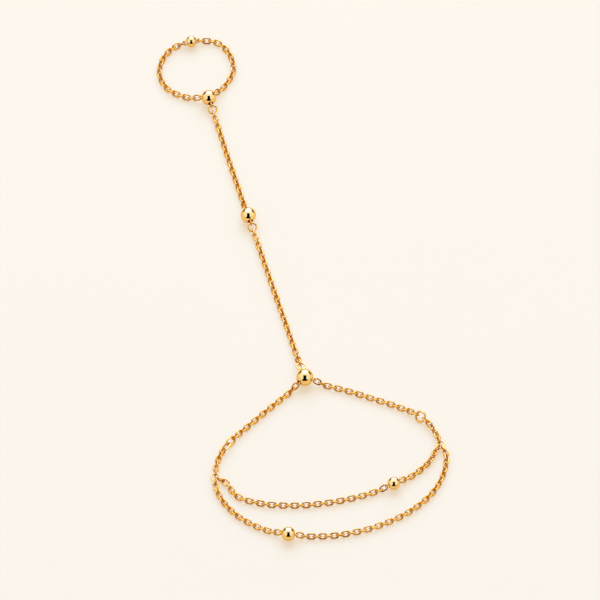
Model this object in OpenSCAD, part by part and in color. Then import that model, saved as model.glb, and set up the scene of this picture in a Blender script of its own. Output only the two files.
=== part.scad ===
// Hand chain bracelet: a chain loop for one finger, a chain down the back of the hand,
// and a wrist loop whose lower side is two strands, with plain round beads along them.
// It lies as laid on a table: X runs across the hand, Y towards the fingertip, Z up.

/* [Chain links] */
// Thickness of the wire that the oval links are bent from
link_wire = 0.42; // [0.36:0.02:0.44]
// Outside length of one oval link
link_length = 2.54; // [2.34:0.02:2.7]
// Outside width of one oval link
link_width = 1.75; // [1.6:0.05:1.9]
// Free play between two links when the chain is drawn straight
link_play = 0.16; // [0.12:0.01:0.18]

/* [Rings] */
// Thickness of the wire of the jump rings beside the beads
ring_wire = 0.42; // [0.36:0.02:0.46]
// Outside diameter of the jump rings beside the beads
ring_diameter = 2.7; // [2.5:0.05:3]
// Thickness of the wire of the large ring in the right arm
large_ring_wire = 0.55; // [0.45:0.05:0.6]
// Outside diameter of the large ring in the right arm
large_ring_diameter = 3.3; // [3:0.1:3.6]
// Thickness of the wire of the two connector links in the left arm
connector_wire = 0.5; // [0.4:0.05:0.55]
// Outside length of a connector link
connector_length = 3.4; // [3:0.1:3.8]
// Outside width of a connector link
connector_width = 2.4; // [2.2:0.1:2.6]
// Thickness of the wire of the two fork rings, which hold the strands
fork_wire = 0.38; // [0.34:0.02:0.42]

/* [Beads] */
// Diameter of the small bead on top of the finger loop
ring_bead_d = 3; // [2.8:0.1:3.4]
// Diameter of the bead where the finger loop meets the hand chain
finger_bead_d = 4; // [3.6:0.1:4.4]
// Diameter of the bead on the back of the hand
hand_bead_d = 4.1; // [3.6:0.1:4.4]
// Diameter of the bead where the hand chain meets the wrist loop
wrist_bead_d = 4.5; // [4:0.1:4.8]
// Diameter of the bead on the inner strand
inner_bead_d = 3.4; // [3:0.1:3.8]
// Diameter of the bead on the outer strand
outer_bead_d = 3.7; // [3.2:0.1:4]

/* [Wire eyes in the beads] */
// Thickness of the wire of the eyes soldered into the beads
eye_wire = 0.32; // [0.28:0.02:0.36]
// How far an eye that holds a chain link stands out of its bead
short_eye = 0.92; // [0.86:0.02:1]
// How far an eye that holds a jump ring stands out of its bead
long_eye = 1.2; // [1.1:0.05:1.4]
// Clearance on each side of the link that passes an eye
link_eye_clear = 0.17; // [0.14:0.01:0.18]
// Clearance on each side of the jump ring that passes an eye
ring_eye_clear = 0.18; // [0.16:0.01:0.2]
// Depth of the drilled hole that an eye is soldered into
hole_depth = 0.8; // [0.7:0.05:0.9]

/* [Lie] */
// How steeply the chain falls from a bead to the table, in degrees
fall_angle = 24; // [18:1:28]
// How far the wire eyes of a bead point down from level, in degrees
eye_droop = 8; // [6:1:10]
// The same for the eye that holds the level jump ring at the wrist bead
level_eye_droop = 3; // [0:1:4]
// Distance along the chain from the middle of the wrist bead to the connector links
connector_from_wrist = 27.2; // [20:0.2:28]
// Distance along the chain from the middle of the wrist bead to the large ring
large_ring_from_wrist = 32.2; // [26:0.2:33]
// How much flatter than a chain link the second connector link lies, in degrees
connector_tip = 15; // [0:5:20]

/* [Hidden] */
$fn = 24;
gold = "goldenrod";

// Places on the table: the six beads and the two forks
ring_bead_at = [-29.3, 82.6];
finger_bead_at = [-24.6, 63.2];
hand_bead_at = [-14.1, 23.6];
wrist_bead_at = [0.8, -30.7];
inner_bead_at = [24.1, -65.4];
outer_bead_at = [-3.5, -82.2];
left_fork_at = [-22.6, -62.8];
right_fork_at = [36.3, -52];

// Points that the chains pass between those places, in the order in which each chain runs
ROUTE_POINTS = [
    ["finger_left", [[-30.2, 64.2], [-35.2, 66.8], [-37.7, 72], [-36.7, 77.5], [-33.2, 81.6]]],
    ["finger_right", [[-21, 67.3], [-18.1, 73.4], [-19.1, 78.7], [-22.3, 82.7], [-25.8, 83.4]]],
    ["hand_upper", [[-22.2, 54.5], [-19.6, 44.4], [-16.9, 34.3]]],
    ["hand_lower", [[-11.5, 14.7], [-7.5, 0], [-3.4, -14.7]]],
    ["arm_left", [[-6.3, -37.7], [-13.7, -45.4], [-18.7, -51], [-21.4, -55.5], [-22.5, -59.5]]],
    ["arm_right", [[9.7, -33.3], [19.3, -36.9], [27.8, -40.7], [32.8, -44.6], [35.3, -48.5]]],
    ["inner_left", [[-20.1, -64.3], [-17.2, -68.8], [-11.2, -71.2], [-3.2, -72], [7.3, -71], [15.8, -68.8]]],
    ["inner_right", [[30.4, -60.9], [33.8, -56.9], [35, -54.2]]],
    ["outer_left", [[-22.6, -65.4], [-21, -69.9], [-17.6, -74.6], [-11.7, -79]]],
    ["outer_right", [[9.8, -81.7], [19.3, -79], [28.4, -73.8], [35, -66.5], [37.7, -58.6], [37.7, -54.5]]]
];

// Link steps: the distance between two joints of a chain drawn straight
link_pitch = link_length - 2 * link_wire - link_play;
ring_pitch = ring_diameter - 2 * ring_wire - link_play;
large_ring_pitch = large_ring_diameter - 2 * large_ring_wire - link_play;
connector_pitch = connector_length - 2 * connector_wire - link_play;

// Each link is turned by this much about the chain, one to the left and the next to the right
link_turn = 45;
LEFT = 1;
RIGHT = -1;
// The chains on the back of the hand are rolled by this much, so every second link lies flatter
hand_roll = 5;
// At a flat ring a chain is rolled until its link stands this steeply, and the roll fades over
// this many links
ring_link_turn = 80;
ring_links = 5;

// Gap inside an eye, for the wire that passes it
link_eye_gap = link_wire + 2 * link_eye_clear;
ring_eye_gap = ring_wire + 2 * ring_eye_clear;
// Space round an eye in its drilled hole
hole_play = 0.05;
// How far the legs of an eye sink into the solid of the bead below the hole
eye_root = 0.2;
// Turn of a ball past its first hole, which keeps its seam clear of every hole
seam_turn = 60;
// From the face of the bead to the joint inside its eye
short_reach = short_eye - eye_wire - link_play / 2;
long_reach = long_eye - eye_wire - link_play / 2;

// Forks: a flat ring just large enough to hold the two strands side by side
fork_half_angle = 30;
fork_inner_r = (link_wire + link_play) / (2 * sin(fork_half_angle)) + link_wire / 2 + link_play;
fork_ring_d = 2 * (fork_inner_r + fork_wire);
fork_reach = fork_inner_r - link_play / 2;

// Heights of the chain's middle above the table; only the beads touch it, and every other
// piece clears it by lie_gap
lie_gap = 0.02;
function lying_height(width, wire, turn) = (width - wire) / 2 * sin(turn) + wire / 2 + lie_gap;
rest_height = lying_height(link_width, link_wire, link_turn + hand_roll);
upright_height = link_width / 2 + lie_gap;
upright_fall_angle = 1.1;
connector_height = lying_height(connector_width, connector_wire, link_turn);
connector_fall_angle = 5;
large_ring_height = lying_height(large_ring_diameter, large_ring_wire, link_turn);
large_ring_fall_angle = 10;

// Steps of the smooth curve between two route points
curve_steps = 24;

function route_points(name) = [for (row = ROUTE_POINTS) if (row[0] == name) row[1]][0];

// Tangent of the curve at a point, weighted by the distances to its neighbours
function tangent(points, i) =
    i == 0 ? unit(points[1] - points[0]) :
    i == len(points) - 1 ? unit(points[i] - points[i - 1]) :
    let (ahead = points[i + 1] - points[i], behind = points[i] - points[i - 1])
    (unit(ahead) * norm(behind) + unit(behind) * norm(ahead)) / (norm(ahead) + norm(behind));

function unit(v) = v / norm(v);

// Point of a smooth curve from a to b, with tangents u and v, at share t of the way
function between(a, b, u, v, t) =
    let (d = norm(b - a))
    (2 * pow(t, 3) - 3 * pow(t, 2) + 1) * a + (pow(t, 3) - 2 * pow(t, 2) + t) * d * u
    + (3 * pow(t, 2) - 2 * pow(t, 3)) * b + (pow(t, 3) - pow(t, 2)) * d * v;

function plan_curve(points) = concat(
    [for (i = [0 : len(points) - 2], k = [0 : curve_steps - 1])
        between(points[i], points[i + 1], tangent(points, i), tangent(points, i + 1), k / curve_steps)],
    [points[len(points) - 1]]
);

// Distance run along a list of points, one value for each point
function run_lengths(points) =
    [for (i = 0, s = 0; i < len(points);
        i = i + 1, s = i < len(points) ? s + norm(points[i] - points[i - 1]) : s) s];

// Height of the chain at distance s of a run: it is lifted at each station, a row of
// distance along the run, height, droop angle and half length of the part that is held up,
// and angle of the fall beside it
function lifted(s, stations) = max(concat([rest_height],
    [for (row = stations)
        let (away = abs(s - row[0]))
        row[1] - tan(row[2]) * min(away, row[3]) - tan(row[4]) * max(0, away - row[3])]));

// Space curve of a run from place a to place b: rows of distance run and point
function space_run(name, a, b, from_stations, to_stations) =
    let (
        plan = plan_curve(concat([a], route_points(name), [b])),
        s = run_lengths(plan),
        total = s[len(s) - 1],
        ends = [for (row = to_stations) [total - row[0], row[1], row[2], row[3], row[4]]],
        points = [for (i = [0 : len(plan) - 1])
            [plan[i].x, plan[i].y, lifted(s[i], concat(from_stations, ends))]],
        run = run_lengths(points)
    )
    [for (i = [0 : len(points) - 1]) [run[i], points[i]]];

function run_total(run) = run[len(run) - 1][0];

function point_at(run, s) = [for (axis = [0 : 2]) lookup(s, [for (row = run) [row[0], row[1][axis]]])];

// Joints of a chain that fills a run from distance s to distance e
function joints(run, s, e) =
    let (count = link_count(e - s))
    [for (i = [0 : count]) point_at(run, s + (e - s) * i / count)];

function link_count(length) = max(1, ceil(length / link_pitch));

// Distance from the middle of a bead to the joint in its short or its long eye
function short_stop(d) = d / 2 + short_reach;
function long_stop(d) = d / 2 + long_reach;

// Stations of a bead whose eye holds a link, a bead whose eye holds a ring, and a fork
function bead_station(d) = [0, d / 2, eye_droop, short_stop(d), fall_angle];
function ring_stations(d, droop, held) = [
    [0, d / 2, droop, long_stop(d) + held, fall_angle],
    [long_stop(d) + ring_pitch + link_pitch / 2, upright_height, 0, link_pitch, upright_fall_angle]
];
fork_station = [0, upright_height, 0, fork_reach + link_pitch, upright_fall_angle];

// The ten runs
finger_left_run = space_run("finger_left", finger_bead_at, ring_bead_at,
    [bead_station(finger_bead_d)], [bead_station(ring_bead_d)]);
finger_right_run = space_run("finger_right", finger_bead_at, ring_bead_at,
    [bead_station(finger_bead_d)], [bead_station(ring_bead_d)]);
hand_upper_run = space_run("hand_upper", finger_bead_at, hand_bead_at,
    ring_stations(finger_bead_d, eye_droop, 0), [bead_station(hand_bead_d)]);
hand_lower_run = space_run("hand_lower", hand_bead_at, wrist_bead_at,
    ring_stations(hand_bead_d, eye_droop, 0),
    ring_stations(wrist_bead_d, level_eye_droop, ring_pitch));
arm_left_run = space_run("arm_left", wrist_bead_at, left_fork_at,
    [bead_station(wrist_bead_d),
        [connector_from_wrist + connector_pitch, connector_height, 0, connector_pitch + link_pitch,
            connector_fall_angle]],
    [fork_station]);
arm_right_run = space_run("arm_right", wrist_bead_at, right_fork_at,
    [bead_station(wrist_bead_d),
        [large_ring_from_wrist + large_ring_pitch / 2, large_ring_height, 0,
            large_ring_pitch / 2 + link_pitch, large_ring_fall_angle]],
    [fork_station]);
inner_left_run = space_run("inner_left", left_fork_at, inner_bead_at,
    [fork_station], [bead_station(inner_bead_d)]);
inner_right_run = space_run("inner_right", inner_bead_at, right_fork_at,
    [bead_station(inner_bead_d)], [fork_station]);
outer_left_run = space_run("outer_left", left_fork_at, outer_bead_at,
    [fork_station], [bead_station(outer_bead_d)]);
outer_right_run = space_run("outer_right", outer_bead_at, right_fork_at,
    [bead_station(outer_bead_d)], [fork_station]);

// Where the pieces in the two arms end
connector_end = connector_from_wrist + 2 * connector_pitch;
large_ring_end = large_ring_from_wrist + large_ring_pitch;

// Rolls of a chain: at its start, at its end and along it
NO_ROLL = [0, 0, 0];
ring_roll = ring_link_turn - link_turn;
ROLL_AT_START = [ring_roll, 0, 0];
ROLL_AT_END = [0, ring_roll, 0];

// The chains, each a row of its joints, the way that its first link is turned, and its rolls
finger_left = [
    joints(finger_left_run, short_stop(finger_bead_d), run_total(finger_left_run) - short_stop(ring_bead_d)),
    RIGHT, NO_ROLL
];
finger_right = [
    joints(finger_right_run, short_stop(finger_bead_d), run_total(finger_right_run) - short_stop(ring_bead_d)),
    LEFT, NO_ROLL
];
hand_upper = [
    joints(hand_upper_run, long_stop(finger_bead_d) + ring_pitch,
        run_total(hand_upper_run) - short_stop(hand_bead_d)),
    RIGHT, [ring_roll - hand_roll, 0, hand_roll]
];
hand_lower = [
    joints(hand_lower_run, long_stop(hand_bead_d) + ring_pitch,
        run_total(hand_lower_run) - long_stop(wrist_bead_d) - ring_pitch),
    RIGHT, [ring_roll - hand_roll, ring_roll - hand_roll, hand_roll]
];
arm_left = [
    joints(arm_left_run, short_stop(wrist_bead_d), connector_from_wrist),
    RIGHT, NO_ROLL
];
short_left = [
    joints(arm_left_run, connector_end, run_total(arm_left_run) - fork_reach),
    RIGHT, ROLL_AT_END
];
arm_right = [
    joints(arm_right_run, short_stop(wrist_bead_d), large_ring_from_wrist),
    LEFT, NO_ROLL
];
short_right = [
    joints(arm_right_run, large_ring_end, run_total(arm_right_run) - fork_reach),
    RIGHT, ROLL_AT_END
];
inner_left = [
    joints(inner_left_run, fork_reach, run_total(inner_left_run) - short_stop(inner_bead_d)),
    RIGHT, ROLL_AT_START
];
inner_right = [
    joints(inner_right_run, short_stop(inner_bead_d), run_total(inner_right_run) - fork_reach),
    LEFT, ROLL_AT_END
];
outer_left = [
    joints(outer_left_run, fork_reach, run_total(outer_left_run) - short_stop(outer_bead_d)),
    RIGHT, ROLL_AT_START
];
outer_right = [
    joints(outer_right_run, short_stop(outer_bead_d), run_total(outer_right_run) - fork_reach),
    LEFT, ROLL_AT_END
];

function last_index(row) = len(row[0]) - 2;
function side_of(row, i) = row[1] * (i % 2 == 0 ? 1 : -1);
function fade(links_away) = max(0, 1 - links_away / ring_links);

// Turn of link i of a chain about the line between its two joints
function turn_of(row, i) =
    side_of(row, i) * link_turn
    + side_of(row, 0) * (row[2][0] * fade(i) + row[2][2])
    + side_of(row, last_index(row)) * row[2][1] * fade(last_index(row) - i);

// Carries a piece drawn along X about the origin to the middle of a and b, turned about that line
module placed(a, b, turn) {
    way = b - a;
    translate((a + b) / 2)
        rotate([turn, -atan2(way.z, norm([way.x, way.y])), atan2(way.y, way.x)])
            children();
}

// Half of a bent wire ring, open towards -X
module half_ring(bend_r, wire) {
    rotate([0, 0, -90])
        rotate_extrude(angle = 180)
            translate([bend_r, 0])
                circle(d = wire);
}

// Straight wire along X
module straight_wire(from_x, to_x, side_y, wire) {
    translate([from_x, side_y, 0])
        rotate([0, 90, 0])
            cylinder(h = to_x - from_x, d = wire);
}

module oval_link(length, width, wire) {
    bend_r = (width - wire) / 2;
    half_straight = (length - width) / 2;
    translate([half_straight, 0, 0])
        half_ring(bend_r, wire);
    translate([-half_straight, 0, 0])
        mirror([1, 0, 0])
            half_ring(bend_r, wire);
    for (side = [-1, 1])
        straight_wire(-half_straight, half_straight, side * bend_r, wire);
}

module round_ring(diameter, wire) {
    rotate_extrude()
        translate([(diameter - wire) / 2, 0])
            circle(d = wire);
}

// A chain of oval links, each between two neighbouring joints
module chain(row)
    color(gold)
        for (i = [0 : last_index(row)])
            placed(row[0][i], row[0][i + 1], turn_of(row, i))
                oval_link(link_length, link_width, link_wire);

// Bead with a drilled hole and a soldered wire eye at each exit. A row of exits is the joint
// that the bead holds, how far the eye stands out, its turn about its way out, and its gap
module bead(at, diameter, exits) {
    middle = [at.x, at.y, diameter / 2];
    hole_start = diameter / 2 - hole_depth;
    difference() {
        towards(middle, exits[0][0], 0)
            rotate([0, 0, seam_turn])
                sphere(d = diameter);
        for (exit = exits)
            towards(middle, exit[0], 0)
                translate([hole_start, 0, 0])
                    rotate([0, 90, 0])
                        cylinder(h = diameter / 2, d = exit[3] + 2 * (eye_wire + hole_play));
    }
    for (exit = exits)
        towards(middle, exit[0], exit[2])
            eye(hole_start - eye_root, diameter / 2 + exit[1], (exit[3] + eye_wire) / 2);
}

// Carries a piece drawn from the origin along +X to start at one point and aim at another
module towards(from, target, turn) {
    way = target - from;
    translate(from)
        rotate([turn, -atan2(way.z, norm([way.x, way.y])), atan2(way.y, way.x)])
            children();
}

module eye(root, tip, bend_r) {
    bend_x = tip - eye_wire / 2 - bend_r;
    for (side = [-1, 1])
        straight_wire(root, bend_x, side * bend_r, eye_wire);
    translate([bend_x, 0, 0])
        half_ring(bend_r, eye_wire);
}

// Exit that holds the first or the last link of a chain: its eye is turned across that link
function first_exit(row) = [row[0][0], short_eye, turn_of(row, 0) + 90, link_eye_gap];
function last_exit(row) =
    let (last = last_index(row))
    [row[0][last + 1], short_eye, 90 - turn_of(row, last), link_eye_gap];
// Exit that holds a flat ring: its eye stands upright
function ring_exit(run, distance) = [point_at(run, distance), long_eye, 90, ring_eye_gap];

module ring_bead()
    color(gold)
        bead(ring_bead_at, ring_bead_d, [
            last_exit(finger_left),
            last_exit(finger_right)
        ]);

module finger_bead()
    color(gold)
        bead(finger_bead_at, finger_bead_d, [
            first_exit(finger_left),
            first_exit(finger_right),
            ring_exit(hand_upper_run, long_stop(finger_bead_d))
        ]);

module hand_bead()
    color(gold)
        bead(hand_bead_at, hand_bead_d, [
            last_exit(hand_upper),
            ring_exit(hand_lower_run, long_stop(hand_bead_d))
        ]);

module wrist_bead()
    color(gold)
        bead(wrist_bead_at, wrist_bead_d, [
            ring_exit(hand_lower_run, run_total(hand_lower_run) - long_stop(wrist_bead_d)),
            first_exit(arm_left),
            first_exit(arm_right)
        ]);

module inner_bead()
    color(gold)
        bead(inner_bead_at, inner_bead_d, [
            last_exit(inner_left),
            first_exit(inner_right)
        ]);

module outer_bead()
    color(gold)
        bead(outer_bead_at, outer_bead_d, [
            last_exit(outer_left),
            first_exit(outer_right)
        ]);

// A jump ring beside a bead, flat between the eye and the chain
module jump_ring(run, from)
    color(gold)
        placed(point_at(run, from), point_at(run, from + ring_pitch), 0)
            round_ring(ring_diameter, ring_wire);

module finger_ring() jump_ring(hand_upper_run, long_stop(finger_bead_d));
module hand_ring() jump_ring(hand_lower_run, long_stop(hand_bead_d));
module wrist_ring()
    jump_ring(hand_lower_run, run_total(hand_lower_run) - long_stop(wrist_bead_d) - ring_pitch);

module large_ring()
    color(gold)
        placed(point_at(arm_right_run, large_ring_from_wrist), point_at(arm_right_run, large_ring_end),
            -side_of(arm_right, last_index(arm_right)) * link_turn)
            round_ring(large_ring_diameter, large_ring_wire);

// One of the two connector links, which starts at a distance along the left arm
module connector(from, turn)
    color(gold)
        placed(point_at(arm_left_run, from), point_at(arm_left_run, from + connector_pitch),
            turn * side_of(arm_left, last_index(arm_left)))
            oval_link(connector_length, connector_width, connector_wire);

module connector_one() connector(connector_from_wrist, -link_turn);
module connector_two() connector(connector_from_wrist + connector_pitch, link_turn - connector_tip);

module fork_ring(at)
    color(gold)
        translate([at.x, at.y, upright_height])
            round_ring(fork_ring_d, fork_wire);

module left_fork_ring() fork_ring(left_fork_at);
module right_fork_ring() fork_ring(right_fork_at);

module finger_chain_left() chain(finger_left);
module finger_chain_right() chain(finger_right);
module hand_chain_upper() chain(hand_upper);
module hand_chain_lower() chain(hand_lower);
module arm_chain_left() chain(arm_left);
module arm_chain_right() chain(arm_right);
module short_chain_left() chain(short_left);
module short_chain_right() chain(short_right);
module inner_strand_left() chain(inner_left);
module inner_strand_right() chain(inner_right);
module outer_strand_left() chain(outer_left);
module outer_strand_right() chain(outer_right);

ring_bead();
finger_bead();
hand_bead();
wrist_bead();
inner_bead();
outer_bead();
finger_ring();
hand_ring();
wrist_ring();
large_ring();
connector_one();
connector_two();
left_fork_ring();
right_fork_ring();
finger_chain_left();
finger_chain_right();
hand_chain_upper();
hand_chain_lower();
arm_chain_left();
arm_chain_right();
short_chain_left();
short_chain_right();
inner_strand_left();
inner_strand_right();
outer_strand_left();
outer_strand_right();
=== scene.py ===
import math

import bmesh
import bpy
import numpy as np
from mathutils import Matrix, Vector


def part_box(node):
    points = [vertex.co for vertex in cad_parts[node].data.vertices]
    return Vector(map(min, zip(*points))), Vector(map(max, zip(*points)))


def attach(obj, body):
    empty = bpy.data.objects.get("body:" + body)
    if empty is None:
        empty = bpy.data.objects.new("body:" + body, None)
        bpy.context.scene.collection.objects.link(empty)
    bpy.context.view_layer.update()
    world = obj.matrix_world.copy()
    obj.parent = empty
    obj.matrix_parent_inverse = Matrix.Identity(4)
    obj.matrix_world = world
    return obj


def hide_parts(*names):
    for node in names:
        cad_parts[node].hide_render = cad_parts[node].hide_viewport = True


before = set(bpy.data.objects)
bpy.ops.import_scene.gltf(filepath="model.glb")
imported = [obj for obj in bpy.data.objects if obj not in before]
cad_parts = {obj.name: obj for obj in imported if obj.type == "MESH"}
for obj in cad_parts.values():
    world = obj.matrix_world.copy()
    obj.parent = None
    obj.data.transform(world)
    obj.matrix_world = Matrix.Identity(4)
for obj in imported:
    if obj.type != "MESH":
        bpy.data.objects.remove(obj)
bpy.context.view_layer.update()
MM = 0.001

# ---------------------------------------------------------------------------------------------
# Camera
# A long lens stands in front of the wrist end and looks down at the bracelet on the table. The
# picture's middle lies just in front of the bracelet's own middle.
# ---------------------------------------------------------------------------------------------
VIEW_HEIGHT_ANGLE = math.radians(52)
VIEW_DISTANCE = 7.0
VIEW_MIDDLE = Vector((-0.47, -3.21, 0)) * MM
PICTURE_WIDTH = 157.9 * MM
SENSOR_WIDTH = 36.0
NEAREST_SEEN = 0.1
FURTHEST_SEEN = 60.0

camera_data = bpy.data.cameras.new("long_lens")
camera_data.sensor_width = SENSOR_WIDTH
camera_data.lens = SENSOR_WIDTH * VIEW_DISTANCE / PICTURE_WIDTH
camera_data.clip_start = NEAREST_SEEN
camera_data.clip_end = FURTHEST_SEEN
camera = bpy.data.objects.new("camera", camera_data)
bpy.context.collection.objects.link(camera)
towards_camera = Vector((0, -math.cos(VIEW_HEIGHT_ANGLE), math.sin(VIEW_HEIGHT_ANGLE)))
camera.location = VIEW_MIDDLE + VIEW_DISTANCE * towards_camera
camera.rotation_euler = (math.pi / 2 - VIEW_HEIGHT_ANGLE, 0, 0)
bpy.context.scene.camera = camera

# ---------------------------------------------------------------------------------------------
# Chain links
# Each chain is a row of oval links, bent from drawn round brass wire, closed with a soldered
# butt seam on one long side, tumbled bright and gold plated. Each link lies across its two
# neighbours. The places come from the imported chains, one link for each loose solid.
# ---------------------------------------------------------------------------------------------
LINK_LENGTH = 2.54 * MM
LINK_WIDTH = 1.75 * MM
LINK_WIRE = 0.42 * MM
LINK_STEPS = 56
WIRE_SIDES = 14
SEAM_DEPTH = 0.13
TURNED_OVER_EVERY = 3
SAME_CORNER = 0.001 * MM
CHAINS = (
    "finger_chain_left", "finger_chain_right", "hand_chain_upper", "hand_chain_lower",
    "arm_chain_left", "arm_chain_right", "short_chain_left", "short_chain_right",
    "inner_strand_left", "inner_strand_right", "outer_strand_left", "outer_strand_right",
)
CHAIN_WARM = (0.67, 0.27, 0.016, 1)
CHAIN_PALE = (0.83, 0.42, 0.06, 1)
# Painted shade: the inner side of each link's wire, toward its hole, is darkened to this colour, where
# the recess lies in shade
CHAIN_PAINTED_SHADE = (0.57, 0.165, 0.001, 1)
SHINE_TINT = (0.94, 0.73, 0.32, 1)
CLOUD_DETAIL = 3.0
CLOUD_SPAN = (0.3, 0.7)
GRAIN_FINENESS = 6.0
GRAIN_DETAIL = 5.0
GRAIN_ROUGHNESS = 0.65
GRAIN_SPAN = (0.35, 0.75)
GRAIN_DEPTH = 0.01 * MM
RECESS_SPAN = (0.45, 0.9)


def oval_path(length, width, wire, steps):
    """Middle line of an oval link in the XY plane, with the way outwards at each point."""
    bend = (width - wire) / 2
    half = (length - width) / 2
    round_run = math.pi * bend
    total = 4 * half + 2 * round_run
    points, outwards = [], []
    for step in range(steps):
        s = total * step / steps
        if s < half:
            point, angle = (s, -bend), -math.pi / 2
        elif s < half + round_run:
            angle = (s - half) / bend - math.pi / 2
            point = (half + bend * math.cos(angle), bend * math.sin(angle))
        elif s < 3 * half + round_run:
            point, angle = (half - (s - half - round_run), bend), math.pi / 2
        elif s < 3 * half + 2 * round_run:
            angle = (s - 3 * half - round_run) / bend + math.pi / 2
            point = (-half + bend * math.cos(angle), bend * math.sin(angle))
        else:
            point, angle = (s - total, -bend), -math.pi / 2
        points.append((*point, 0))
        outwards.append((math.cos(angle), math.sin(angle), 0))
    return np.array(points), np.array(outwards)


def closed_wire(points, outwards, wire, sides, seam_depth):
    """A round wire along a closed flat path: its corners, faces, and how far each corner lies in
    the recess inside. The wire is a little thinner at its first point, where its ends meet."""
    steps = len(points)
    swing = 2 * math.pi * np.arange(sides) / sides
    radius = np.full(steps, wire / 2)
    radius[0] *= 1 - seam_depth
    up = np.array((0, 0, 1))
    rims = (np.cos(swing)[None, :, None] * outwards[:, None, :] + np.sin(swing)[None, :, None] * up)
    corners = (points[:, None, :] + radius[:, None, None] * rims).reshape(-1, 3)
    faces = [
        (a * sides + b, (a + 1) % steps * sides + b,
         (a + 1) % steps * sides + (b + 1) % sides, a * sides + (b + 1) % sides)
        for a in range(steps) for b in range(sides)
    ]
    recess = np.tile((1 - np.cos(swing)) / 2, steps)
    return corners, np.array(faces), recess


def loose_solids(node):
    """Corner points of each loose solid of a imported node."""
    shape = bmesh.new()
    shape.from_mesh(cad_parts[node].data)
    bmesh.ops.remove_doubles(shape, verts=shape.verts, dist=SAME_CORNER)
    seen, solids = set(), []
    for start in shape.verts:
        if start in seen:
            continue
        seen.add(start)
        waiting, corners = [start], []
        while waiting:
            vert = waiting.pop()
            corners.append(vert.co[:])
            for edge in vert.link_edges:
                other = edge.other_vert(vert)
                if other not in seen:
                    seen.add(other)
                    waiting.append(other)
        solids.append(np.array(corners))
    shape.free()
    return solids


def lie_of(corners):
    """Middle of a flat wire piece, and its axes as columns: along, across and through it."""
    spread = corners - corners.mean(0)
    ways = np.linalg.eigh(spread.T @ spread)[1]
    along, through = ways[:, 2], ways[:, 0]
    if along[1] > 0:
        along = -along
    if through[2] < 0:
        through = -through
    across = np.cross(through, along)
    axes = np.column_stack((along, across, through))
    turned = corners @ axes
    middle = axes @ ((turned.min(0) + turned.max(0)) / 2)
    return middle, axes


def joined(name, parts, material):
    """One object from parts of corners, faces and recess."""
    corners, faces, recess, count = [], [], [], 0
    for part_corners, part_faces, part_recess in parts:
        corners.append(part_corners)
        faces.extend((np.asarray(part_faces) + count).tolist())
        recess.append(part_recess)
        count += len(part_corners)
    mesh = bpy.data.meshes.new(name)
    mesh.from_pydata(np.concatenate(corners).tolist(), [], faces)
    mesh.polygons.foreach_set("use_smooth", [True] * len(mesh.polygons))
    mesh.attributes.new("recess", "FLOAT", "POINT").data.foreach_set("value", np.concatenate(recess))
    mesh.materials.append(material)
    mesh.update()
    piece = bpy.data.objects.new(name, mesh)
    bpy.context.collection.objects.link(piece)
    return piece


def marks_and_painted_shade_group():
    """Fine marks of tumbling and handling: a tone that varies, a roughness, a relief, and a mask
    of painted shade for the inner side of the wire, where the recess inside lies in shade."""
    group = bpy.data.node_groups.new("handling_marks_and_painted_shade", "ShaderNodeTree")
    for name in ("Mark Scale", "Smoothest", "Roughest"):
        group.interface.new_socket(name, in_out="INPUT", socket_type="NodeSocketFloat")
    for name in ("Tone", "Roughness", "Relief", "Recess"):
        group.interface.new_socket(name, in_out="OUTPUT", socket_type="NodeSocketFloat")
    nodes, links = group.nodes, group.links
    given = nodes.new("NodeGroupInput")
    result = nodes.new("NodeGroupOutput")
    place = nodes.new("ShaderNodeTexCoord")
    cloud = nodes.new("ShaderNodeTexNoise")
    cloud.inputs["Detail"].default_value = CLOUD_DETAIL
    links.new(place.outputs["Object"], cloud.inputs["Vector"])
    links.new(given.outputs["Mark Scale"], cloud.inputs["Scale"])
    finer = nodes.new("ShaderNodeMath")
    finer.operation = "MULTIPLY"
    finer.inputs[1].default_value = GRAIN_FINENESS
    links.new(given.outputs["Mark Scale"], finer.inputs[0])
    grain = nodes.new("ShaderNodeTexNoise")
    grain.inputs["Detail"].default_value = GRAIN_DETAIL
    grain.inputs["Roughness"].default_value = GRAIN_ROUGHNESS
    links.new(place.outputs["Object"], grain.inputs["Vector"])
    links.new(finer.outputs[0], grain.inputs["Scale"])
    spread = nodes.new("ShaderNodeMapRange")
    spread.inputs["From Min"].default_value = CLOUD_SPAN[0]
    spread.inputs["From Max"].default_value = CLOUD_SPAN[1]
    links.new(cloud.outputs["Fac"], spread.inputs["Value"])
    roughness = nodes.new("ShaderNodeMapRange")
    roughness.inputs["From Min"].default_value = GRAIN_SPAN[0]
    roughness.inputs["From Max"].default_value = GRAIN_SPAN[1]
    links.new(grain.outputs["Fac"], roughness.inputs["Value"])
    links.new(given.outputs["Smoothest"], roughness.inputs["To Min"])
    links.new(given.outputs["Roughest"], roughness.inputs["To Max"])
    links.new(spread.outputs["Result"], result.inputs["Tone"])
    links.new(roughness.outputs["Result"], result.inputs["Roughness"])
    links.new(grain.outputs["Fac"], result.inputs["Relief"])
    # Painted shade: the inner side of the wire, in the recess, is marked to be darkened
    inside = nodes.new("ShaderNodeAttribute")
    inside.attribute_name = "recess"
    recess = nodes.new("ShaderNodeMapRange")
    recess.interpolation_type = "SMOOTHSTEP"
    recess.inputs["From Min"].default_value = RECESS_SPAN[0]
    recess.inputs["From Max"].default_value = RECESS_SPAN[1]
    links.new(inside.outputs["Fac"], recess.inputs["Value"])
    links.new(recess.outputs["Result"], result.inputs["Recess"])
    return group


handling_marks_and_painted_shade = marks_and_painted_shade_group()


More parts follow.
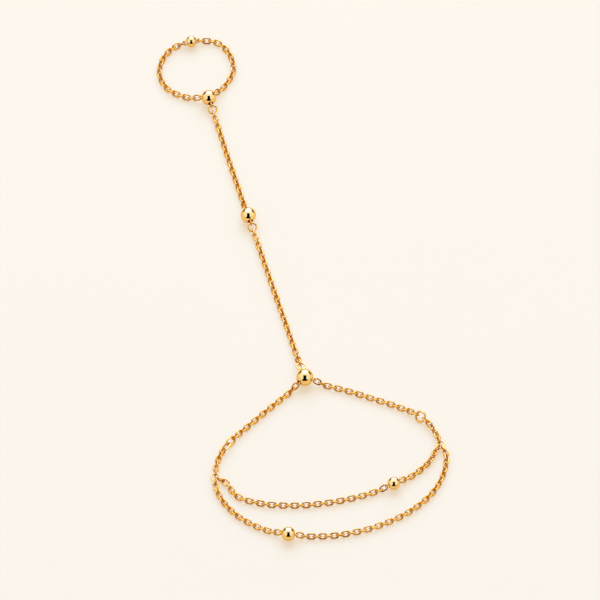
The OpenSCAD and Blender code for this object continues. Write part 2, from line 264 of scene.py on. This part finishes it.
def gold(name, warm, pale, painted_shade, mark_scale, smoothest, roughest, relief):
    """Polished gold plate over brass, with fine marks from tumbling and wear. The tone runs from
    warm to pale, and painted shade darkens it in the recesses of a mesh that has them."""
    material = bpy.data.materials.new(name)
    material.use_nodes = True
    nodes, links = material.node_tree.nodes, material.node_tree.links
    shader = nodes["Principled BSDF"]
    shader.inputs["Metallic"].default_value = 1.0
    shader.inputs["Specular Tint"].default_value = SHINE_TINT
    marks = nodes.new("ShaderNodeGroup")
    marks.node_tree = handling_marks_and_painted_shade
    marks.inputs["Mark Scale"].default_value = mark_scale
    marks.inputs["Smoothest"].default_value = smoothest
    marks.inputs["Roughest"].default_value = roughest
    tone = nodes.new("ShaderNodeMix")
    tone.data_type = "RGBA"
    tone.inputs["A"].default_value = warm
    tone.inputs["B"].default_value = pale
    links.new(marks.outputs["Tone"], tone.inputs["Factor"])
    # Painted shade: toward the inner side of the wire the tone turns to the shade colour
    shaded_tone = nodes.new("ShaderNodeMix")
    shaded_tone.data_type = "RGBA"
    shaded_tone.inputs["B"].default_value = painted_shade
    links.new(marks.outputs["Recess"], shaded_tone.inputs["Factor"])
    links.new(tone.outputs["Result"], shaded_tone.inputs["A"])
    links.new(shaded_tone.outputs["Result"], shader.inputs["Base Color"])
    links.new(marks.outputs["Roughness"], shader.inputs["Roughness"])
    bump = nodes.new("ShaderNodeBump")
    bump.inputs["Strength"].default_value = relief
    bump.inputs["Distance"].default_value = GRAIN_DEPTH
    links.new(marks.outputs["Relief"], bump.inputs["Height"])
    links.new(bump.outputs["Normal"], shader.inputs["Normal"])
    return material


chain_gold = gold("chain_gold", CHAIN_WARM, CHAIN_PALE, CHAIN_PAINTED_SHADE,
                  mark_scale=450.0, smoothest=0.04, roughest=0.12, relief=0.2)
link_corners, link_faces, link_recess = closed_wire(
    *oval_path(LINK_LENGTH, LINK_WIDTH, LINK_WIRE, LINK_STEPS), LINK_WIRE, WIRE_SIDES, SEAM_DEPTH)

# Every third link lies turned over, so the seams aren't all on one side
for chain in CHAINS:
    parts = []
    for number, corners in enumerate(loose_solids(chain)):
        middle, axes = lie_of(corners)
        side = 1 if number % TURNED_OVER_EVERY else -1
        turned = link_corners * (1, side, side)
        parts.append((middle + turned @ axes.T, link_faces, link_recess))
    links_of_chain = joined(chain + "_links", parts, chain_gold)
    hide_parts(chain)
    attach(links_of_chain, "root")

# ---------------------------------------------------------------------------------------------
# Connector links and rings
# The two connector links are larger ovals of the same make. The jump rings beside the beads
# and the large ring are coiled wire, cut and pressed shut, so a fine seam shows; the two fork
# rings are soldered. All are polished and gold plated with the chain.
# ---------------------------------------------------------------------------------------------
CONNECTOR_LENGTH = 3.4 * MM
CONNECTOR_WIDTH = 2.4 * MM
CONNECTOR_WIRE = 0.5 * MM
RING_DIAMETER = 2.7 * MM
RING_WIRE = 0.42 * MM
LARGE_RING_DIAMETER = 3.3 * MM
LARGE_RING_WIRE = 0.55 * MM
FORK_WIRE = 0.38 * MM
RING_STEPS = 96
RING_SIDES = 20
CONNECTOR_SEAMS = {"connector_one": 0.0, "connector_two": math.pi}
JUMP_RING_SEAMS = {"finger_ring": 1.9, "hand_ring": -1.2, "wrist_ring": 0.6}
LARGE_RING_SEAM = 2.4
RING_WARM = (0.86, 0.43, 0.06, 1)
RING_PALE = (0.93, 0.52, 0.1, 1)
# Painted shade: the inner side of each ring's and eye's wire is darkened to this colour, where the
# recess lies in shade
RING_PAINTED_SHADE = (0.6, 0.18, 0.002, 1)

ring_gold = gold("ring_gold", RING_WARM, RING_PALE, RING_PAINTED_SHADE,
                 mark_scale=400.0, smoothest=0.03, roughest=0.1, relief=0.15)


def ring_path(diameter, wire, steps):
    """Middle line of a round ring in the XY plane, with the way outwards at each point."""
    swing = 2 * math.pi * np.arange(steps) / steps
    outwards = np.column_stack((np.cos(swing), np.sin(swing), np.zeros(steps)))
    return (diameter - wire) / 2 * outwards, outwards


def lay_ring(node, path, wire, seam_depth, seam_turn):
    """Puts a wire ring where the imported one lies, its seam turned to one side."""
    middle, axes = lie_of(loose_solids(node)[0])
    corners, faces, recess = closed_wire(*path, wire, RING_SIDES, seam_depth)
    turn = np.array(Matrix.Rotation(seam_turn, 3, "Z"))
    ring = joined(node + "_wire", [(middle + corners @ turn.T @ axes.T, faces, recess)], ring_gold)
    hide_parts(node)
    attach(ring, "root")


connector_path = oval_path(CONNECTOR_LENGTH, CONNECTOR_WIDTH, CONNECTOR_WIRE, RING_STEPS)
for connector, seam_turn in CONNECTOR_SEAMS.items():
    lay_ring(connector, connector_path, CONNECTOR_WIRE, SEAM_DEPTH, seam_turn)
jump_ring_path = ring_path(RING_DIAMETER, RING_WIRE, RING_STEPS)
for jump_ring, seam_turn in JUMP_RING_SEAMS.items():
    lay_ring(jump_ring, jump_ring_path, RING_WIRE, SEAM_DEPTH, seam_turn)
large_ring_path = ring_path(LARGE_RING_DIAMETER, LARGE_RING_WIRE, RING_STEPS)
lay_ring("large_ring", large_ring_path, LARGE_RING_WIRE, SEAM_DEPTH, LARGE_RING_SEAM)
for fork_ring in ("left_fork_ring", "right_fork_ring"):
    low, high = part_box(fork_ring)
    fork_ring_path = ring_path(high.x - low.x, FORK_WIRE, RING_STEPS)
    lay_ring(fork_ring, fork_ring_path, FORK_WIRE, seam_depth=0.0, seam_turn=0.0)

# ---------------------------------------------------------------------------------------------
# Beads
# Round balls of brass, turned, polished to a mirror and gold plated. At each exit a hole is
# drilled and chamfered, and a bent wire eye is soldered into it, which holds the chain.
# ---------------------------------------------------------------------------------------------
BEADS = {
    "ring_bead": 3.0 * MM, "finger_bead": 4.0 * MM, "hand_bead": 4.1 * MM,
    "wrist_bead": 4.5 * MM, "inner_bead": 3.4 * MM, "outer_bead": 3.7 * MM,
}
EYE_WIRE = 0.32 * MM
HOLE_DEPTH = 0.8 * MM
HOLE_PLAY = 0.05 * MM
HOLE_CHAMFER = 0.05 * MM
EYE_ROOT = 0.2 * MM
EYE_STEPS = 40
EYE_STANDS_OUT = 0.15 * MM
SAME_EYE = 0.8
ABOVE_HOLES = 0.82
ON_BALL = 0.995
DRILL_REACH = 1.3
BALL_TURNS = 128
BALL_RINGS = 64
DRILL_SIDES = 72
BEAD_WARM = (0.93, 0.57, 0.17, 1)
BEAD_PALE = (0.96, 0.62, 0.21, 1)

bead_gold = gold("bead_gold", BEAD_WARM, BEAD_PALE, BEAD_WARM,
                 mark_scale=160.0, smoothest=0.01, roughest=0.03, relief=0.03)


def ball_middle(corners, diameter):
    """Middle of the ball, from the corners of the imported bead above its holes."""
    top = corners[corners[:, 2] > ABOVE_HOLES * diameter]
    sides = np.column_stack((2 * top, np.ones(len(top))))
    return np.linalg.lstsq(sides, (top ** 2).sum(1), rcond=None)[0][:3]


def exits_of(corners, middle, radius):
    """The eyes that stand out of a packed bead: way out, way through the eye, reach and width."""
    away = corners - middle
    outside = away[np.linalg.norm(away, axis=1) > radius + EYE_STANDS_OUT]
    groups = []
    for point in outside:
        way = point / np.linalg.norm(point)
        for group in groups:
            if way @ group[0] > SAME_EYE:
                group[1].append(point)
                break
        else:
            groups.append((way, [point]))
    exits = []
    for _, points in groups:
        points = np.array(points)
        spread = points - points.mean(0)
        through = np.linalg.eigh(spread.T @ spread)[1][:, 0]
        way = points.mean(0) - through * (points.mean(0) @ through)
        way /= np.linalg.norm(way)
        across = np.cross(through, way)
        exits.append((way, across, through, (points @ way).max(), np.ptp(points @ across)))
    return exits


def drill(way, across, through, middle, radius, hole_radius):
    """The solid that a chamfered drill takes out of the ball."""
    bottom = radius - HOLE_DEPTH
    face = math.sqrt(radius ** 2 - hole_radius ** 2)
    profile = (
        (bottom, hole_radius),
        (face - HOLE_CHAMFER, hole_radius),
        (face + HOLE_CHAMFER, hole_radius + 2 * HOLE_CHAMFER),
        (radius * DRILL_REACH, hole_radius + 2 * HOLE_CHAMFER),
    )
    shape = bmesh.new()
    rings = []
    for along, wide in profile:
        ring = []
        for side in range(DRILL_SIDES):
            swing = 2 * math.pi * side / DRILL_SIDES
            out = math.cos(swing) * across + math.sin(swing) * through
            ring.append(shape.verts.new(middle + along * way + wide * out))
        rings.append(ring)
    for near, far in zip(rings, rings[1:]):
        for side in range(DRILL_SIDES):
            after = (side + 1) % DRILL_SIDES
            shape.faces.new((near[side], near[after], far[after], far[side]))
    shape.faces.new(rings[0])
    shape.faces.new(rings[-1])
    bmesh.ops.recalc_face_normals(shape, faces=shape.faces)
    mesh = bpy.data.meshes.new("drill")
    shape.to_mesh(mesh)
    shape.free()
    tool = bpy.data.objects.new("drill", mesh)
    bpy.context.collection.objects.link(tool)
    return tool


def drilled_ball(name, middle, radius, tools):
    """A mirror-smooth ball with its drilled holes."""
    shape = bmesh.new()
    bmesh.ops.create_uvsphere(shape, u_segments=BALL_TURNS, v_segments=BALL_RINGS, radius=radius)
    bmesh.ops.translate(shape, verts=shape.verts, vec=middle)
    mesh = bpy.data.meshes.new(name)
    shape.to_mesh(mesh)
    shape.free()
    ball = bpy.data.objects.new(name, mesh)
    bpy.context.collection.objects.link(ball)
    for tool in tools:
        cut = ball.modifiers.new("drill", "BOOLEAN")
        cut.operation = "DIFFERENCE"
        cut.solver = "EXACT"
        cut.object = tool
    evaluated = bpy.context.evaluated_depsgraph_get()
    drilled = bpy.data.meshes.new_from_object(ball.evaluated_get(evaluated))
    ball.modifiers.clear()
    ball.data = drilled
    for tool in tools:
        bpy.data.objects.remove(tool)
    return ball


def eye_wire(way, across, through, middle, root, tip, bend):
    """A wire eye: a leg out, a half turn, and a leg back into the hole. Gives its corners, faces
    and recess."""
    bend_at = tip - EYE_WIRE / 2 - bend
    legs = EYE_STEPS // 4
    path = [(root + (bend_at - root) * step / legs, -bend, -math.pi / 2) for step in range(legs)]
    for step in range(2 * legs + 1):
        swing = math.pi * step / (2 * legs) - math.pi / 2
        path.append((bend_at + bend * math.cos(swing), bend * math.sin(swing), swing))
    path += [(bend_at - (bend_at - root) * (step + 1) / legs, bend, math.pi / 2) for step in range(legs)]
    corners = []
    for along, aside, swing in path:
        out = math.cos(swing) * way + math.sin(swing) * across
        point = middle + along * way + aside * across
        for side in range(RING_SIDES):
            turn = 2 * math.pi * side / RING_SIDES
            corners.append(point + EYE_WIRE / 2 * (math.cos(turn) * out + math.sin(turn) * through))
    faces = [
        (a * RING_SIDES + b, (a + 1) * RING_SIDES + b,
         (a + 1) * RING_SIDES + (b + 1) % RING_SIDES, a * RING_SIDES + (b + 1) % RING_SIDES)
        for a in range(len(path) - 1) for b in range(RING_SIDES)
    ]
    recess = [(1 - math.cos(2 * math.pi * side / RING_SIDES)) / 2 for side in range(RING_SIDES)]
    return np.array(corners), faces, np.tile(recess, len(path))


for bead, diameter in BEADS.items():
    radius = diameter / 2
    corners = np.concatenate(loose_solids(bead))
    middle = ball_middle(corners, diameter)
    exits = exits_of(corners, middle, radius)
    tools = [
        drill(way, across, through, middle, radius, width / 2 + HOLE_PLAY)
        for way, across, through, reach, width in exits
    ]
    ball = drilled_ball(bead + "_ball", middle, radius, tools)
    ball.data.polygons.foreach_set("use_smooth", [True] * len(ball.data.polygons))
    ball.data.materials.clear()
    ball.data.materials.append(bead_gold)
    normals = []
    for face in ball.data.polygons:
        out = Vector(face.center) - Vector(middle)
        on_ball = face.normal.dot(out.normalized()) > ON_BALL
        for index in face.vertices:
            corner = Vector(ball.data.vertices[index].co) - Vector(middle)
            normals.append(corner.normalized() if on_ball else face.normal.copy())
    ball.data.normals_split_custom_set([tuple(normal) for normal in normals])
    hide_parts(bead)
    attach(ball, "root")
    eyes = joined(bead + "_eyes", [
        eye_wire(way, across, through, middle, radius - HOLE_DEPTH - EYE_ROOT, reach,
                 (width - EYE_WIRE) / 2)
        for way, across, through, reach, width in exits
    ], ring_gold)
    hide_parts(bead)
    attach(eyes, "root")

# ---------------------------------------------------------------------------------------------
# Table and light
# The bracelet lies on pale warm paper inside a light tent. A large soft light hangs behind it,
# and the tent is open in front, where the camera looks in.
# ---------------------------------------------------------------------------------------------
TABLE_SIZE = 6.0
TABLE_PALE = (0.168, 0.205, 0.168, 1)
TABLE_SHADE = (0.163, 0.199, 0.163, 1)
TABLE_GLOW = (0.7, 0.535, 0.36, 1)
PAPER_ROUGHNESS = 0.85
PAPER_CLOUD_SCALE = 14.0

table_mesh = bpy.data.meshes.new("table")
half_table = TABLE_SIZE / 2
table_mesh.from_pydata(
    [(-half_table, -half_table, 0), (half_table, -half_table, 0),
     (half_table, half_table, 0), (-half_table, half_table, 0)], [], [(0, 1, 2, 3)])
table = bpy.data.objects.new("table", table_mesh)
bpy.context.collection.objects.link(table)
paper = bpy.data.materials.new("warm_paper")
paper.use_nodes = True
paper_nodes, paper_links = paper.node_tree.nodes, paper.node_tree.links
paper_shader = paper_nodes["Principled BSDF"]
paper_shader.inputs["Roughness"].default_value = PAPER_ROUGHNESS
paper_shader.inputs["Specular IOR Level"].default_value = 0.0
paper_shader.inputs["Emission Color"].default_value = TABLE_GLOW
paper_shader.inputs["Emission Strength"].default_value = 1.0
paper_place = paper_nodes.new("ShaderNodeTexCoord")
paper_cloud = paper_nodes.new("ShaderNodeTexNoise")
paper_cloud.inputs["Scale"].default_value = PAPER_CLOUD_SCALE
paper_tone = paper_nodes.new("ShaderNodeMix")
paper_tone.data_type = "RGBA"
paper_tone.inputs["A"].default_value = TABLE_SHADE
paper_tone.inputs["B"].default_value = TABLE_PALE
paper_links.new(paper_place.outputs["Object"], paper_cloud.inputs["Vector"])
paper_links.new(paper_cloud.outputs["Fac"], paper_tone.inputs["Factor"])
paper_links.new(paper_tone.outputs["Result"], paper_shader.inputs["Base Color"])
table_mesh.materials.append(paper)

# The soft light behind the bracelet
SOFT_LIGHT_HEIGHT_ANGLE = math.radians(40)
SOFT_LIGHT_DISTANCE = 2.0
SOFT_LIGHT_WIDTH = 2.6
SOFT_LIGHT_HEIGHT = 2.2
SOFT_LIGHT_POWER = 60.0
SOFT_LIGHT_COLOUR = (1.0, 0.98, 0.95)
soft_light_data = bpy.data.lights.new("soft_light", "AREA")
soft_light_data.shape = "ELLIPSE"
soft_light_data.size = SOFT_LIGHT_WIDTH
soft_light_data.size_y = SOFT_LIGHT_HEIGHT
soft_light_data.energy = SOFT_LIGHT_POWER
soft_light_data.color = SOFT_LIGHT_COLOUR
soft_light = bpy.data.objects.new("soft_light", soft_light_data)
soft_light.location = SOFT_LIGHT_DISTANCE * Vector(
    (0, math.cos(SOFT_LIGHT_HEIGHT_ANGLE), math.sin(SOFT_LIGHT_HEIGHT_ANGLE)))
soft_light.rotation_euler = (math.pi / 2 - SOFT_LIGHT_HEIGHT_ANGLE, 0, math.pi)
bpy.context.collection.objects.link(soft_light)
# The tent's cloth hides the lamp, so the metal mirrors only the lit cloth
soft_light.visible_glossy = False

# The tent: pale cloth all round, brighter above, brightest where the soft light shines on its
# roof, dark in its front opening and at two gaps beside the light, whose edges are warm
TENT_LOW = (0.86, 0.93, 1.15, 1)
TENT_HIGH = (1.05, 1.3, 1.95, 1)
TENT_HIGH_FROM = 0.55
ROOF_NEAR = (1.08, 1.35, 2.3, 1)
ROOF_FAR = (3.1, 4.6, 13.2, 1)
ROOF_TURN = (math.radians(18), math.radians(36))
ROOF_MIDDLE = math.radians(37)
ROOF_HALF_LENGTH = math.radians(44)
ROOF_HALF_WIDTH = 0.56
ROOF_EDGE = (1.1, 0.9)
ROOF_FAR_EDGE = (0.95, 0.5)
DARK_GLOW = (0.003, 0.002, 0.001, 1)
OPENING_HALF_WIDTH = 0.35
OPENING_FOOT_HALF_WIDTH = 0.58
OPENING_START = 0.18
OPENING_NARROW_FROM = 0.65
OPENING_EDGE = 0.015
GAP_GLOW = (0.05, 0.012, 0.001, 1)
GAP_EDGE_GLOW = (0.9, 0.5, 0.12, 1)
GAP_WAYS = ((133, 9), (40, 9))
GAP_INSIDE = math.cos(math.radians(17))
GAP_OUTSIDE = math.cos(math.radians(18))
GAP_EDGE_INSIDE = math.cos(math.radians(18.5))
GAP_EDGE_OUTSIDE = math.cos(math.radians(22))
BEYOND_TABLE = (0.97, 0.93, 0.86, 1)

world = bpy.data.worlds.new("tent")
bpy.context.scene.world = world
world.use_nodes = True
nodes, links = world.node_tree.nodes, world.node_tree.links
nodes.clear()
way_in = nodes.new("ShaderNodeTexCoord")
split = nodes.new("ShaderNodeSeparateXYZ")
links.new(way_in.outputs["Generated"], split.inputs["Vector"])


def work_out(operation, first, second):
    """One step of arithmetic in the world; each term is a number or another node's output."""
    node = nodes.new("ShaderNodeMath")
    node.operation = operation
    for number, value in enumerate((first, second)):
        if isinstance(value, (int, float)):
            node.inputs[number].default_value = value
        else:
            links.new(value, node.inputs[number])
    return node.outputs[0]


def fade(value, from_value, to_value, low=0.0, high=1.0):
    """A smooth change from low to high as the value runs from one end to the other."""
    node = nodes.new("ShaderNodeMapRange")
    node.interpolation_type = "SMOOTHSTEP"
    node.inputs["From Min"].default_value = from_value
    node.inputs["From Max"].default_value = to_value
    node.inputs["To Min"].default_value = low
    node.inputs["To Max"].default_value = high
    links.new(value, node.inputs["Value"])
    return node.outputs["Result"]


# The opening is a strip on the camera's side that widens at its foot
half_width = fade(
    split.outputs["Z"], 0.0, OPENING_NARROW_FROM, OPENING_FOOT_HALF_WIDTH, OPENING_HALF_WIDTH)
past_side = work_out("SUBTRACT", work_out("ABSOLUTE", split.outputs["X"], 0.0), half_width)
in_front = fade(
    split.outputs["Y"], -OPENING_START + OPENING_EDGE, -OPENING_START - OPENING_EDGE)
dark = work_out("MULTIPLY", fade(past_side, OPENING_EDGE, -OPENING_EDGE), in_front)
gap = 0.0
gap_edge = 0.0
for turn_degrees, height_degrees in GAP_WAYS:
    turn = math.radians(turn_degrees)
    height = math.radians(height_degrees)
    gap_way = (
        math.cos(turn) * math.cos(height), math.sin(turn) * math.cos(height), math.sin(height))
    nearness = nodes.new("ShaderNodeVectorMath")
    nearness.operation = "DOT_PRODUCT"
    nearness.inputs[1].default_value = gap_way
    links.new(way_in.outputs["Generated"], nearness.inputs[0])
    gap = work_out("MAXIMUM", gap, fade(nearness.outputs["Value"], GAP_OUTSIDE, GAP_INSIDE))
    gap_edge = work_out(
        "MAXIMUM", gap_edge, fade(nearness.outputs["Value"], GAP_EDGE_OUTSIDE, GAP_EDGE_INSIDE))
tent_tone = nodes.new("ShaderNodeMix")
tent_tone.data_type = "RGBA"
tent_tone.inputs["A"].default_value = TENT_LOW
tent_tone.inputs["B"].default_value = TENT_HIGH
links.new(fade(split.outputs["Z"], 0.0, TENT_HIGH_FROM), tent_tone.inputs["Factor"])
# The glow on the roof is an oval from just in front of the zenith down behind the bracelet, kept
# off the paper
past_zenith = work_out("ARCTAN2", split.outputs["Y"], split.outputs["Z"])
along_oval = work_out("DIVIDE", work_out("SUBTRACT", past_zenith, ROOF_MIDDLE), ROOF_HALF_LENGTH)
across_oval = work_out("DIVIDE", split.outputs["X"], ROOF_HALF_WIDTH)
oval = work_out("ADD", work_out("POWER", along_oval, 2.0), work_out("POWER", across_oval, 2.0))
ray_kind = nodes.new("ShaderNodeLightPath")
not_on_paper = work_out("SUBTRACT", 1.0, ray_kind.outputs["Is Diffuse Ray"])
roof_tone = nodes.new("ShaderNodeMix")
roof_tone.data_type = "RGBA"
links.new(work_out("MULTIPLY", fade(oval, *ROOF_EDGE), not_on_paper), roof_tone.inputs["Factor"])
links.new(tent_tone.outputs["Result"], roof_tone.inputs["A"])
roof_end = nodes.new("ShaderNodeMix")
roof_end.data_type = "RGBA"
roof_end.inputs["A"].default_value = ROOF_NEAR
roof_end.inputs["B"].default_value = ROOF_FAR
in_far_part = work_out("MULTIPLY", fade(past_zenith, *ROOF_TURN), fade(oval, *ROOF_FAR_EDGE))
links.new(in_far_part, roof_end.inputs["Factor"])
links.new(roof_end.outputs["Result"], roof_tone.inputs["B"])
tent_light = nodes.new("ShaderNodeBackground")
links.new(roof_tone.outputs["Result"], tent_light.inputs["Color"])
light = tent_light
for amount, glow in ((gap_edge, GAP_EDGE_GLOW), (gap, GAP_GLOW), (dark, DARK_GLOW)):
    dark_light = nodes.new("ShaderNodeBackground")
    dark_light.inputs["Color"].default_value = glow
    mixed = nodes.new("ShaderNodeMixShader")
    links.new(amount, mixed.inputs["Fac"])
    links.new(light.outputs[0], mixed.inputs[1])
    links.new(dark_light.outputs[0], mixed.inputs[2])
    light = mixed
# Seen straight, beyond the table, the tent is the colour of the paper
paper_light = nodes.new("ShaderNodeBackground")
paper_light.inputs["Color"].default_value = BEYOND_TABLE
seen = nodes.new("ShaderNodeMixShader")
links.new(ray_kind.outputs["Is Camera Ray"], seen.inputs["Fac"])
links.new(mixed.outputs[0], seen.inputs[1])
links.new(paper_light.outputs[0], seen.inputs[2])
result = nodes.new("ShaderNodeOutputWorld")
links.new(seen.outputs[0], result.inputs["Surface"])

bpy.context.scene.view_settings.view_transform = "Standard"
bpy.context.scene.view_settings.look = "None"
bpy.context.scene.view_settings.exposure = 0.0
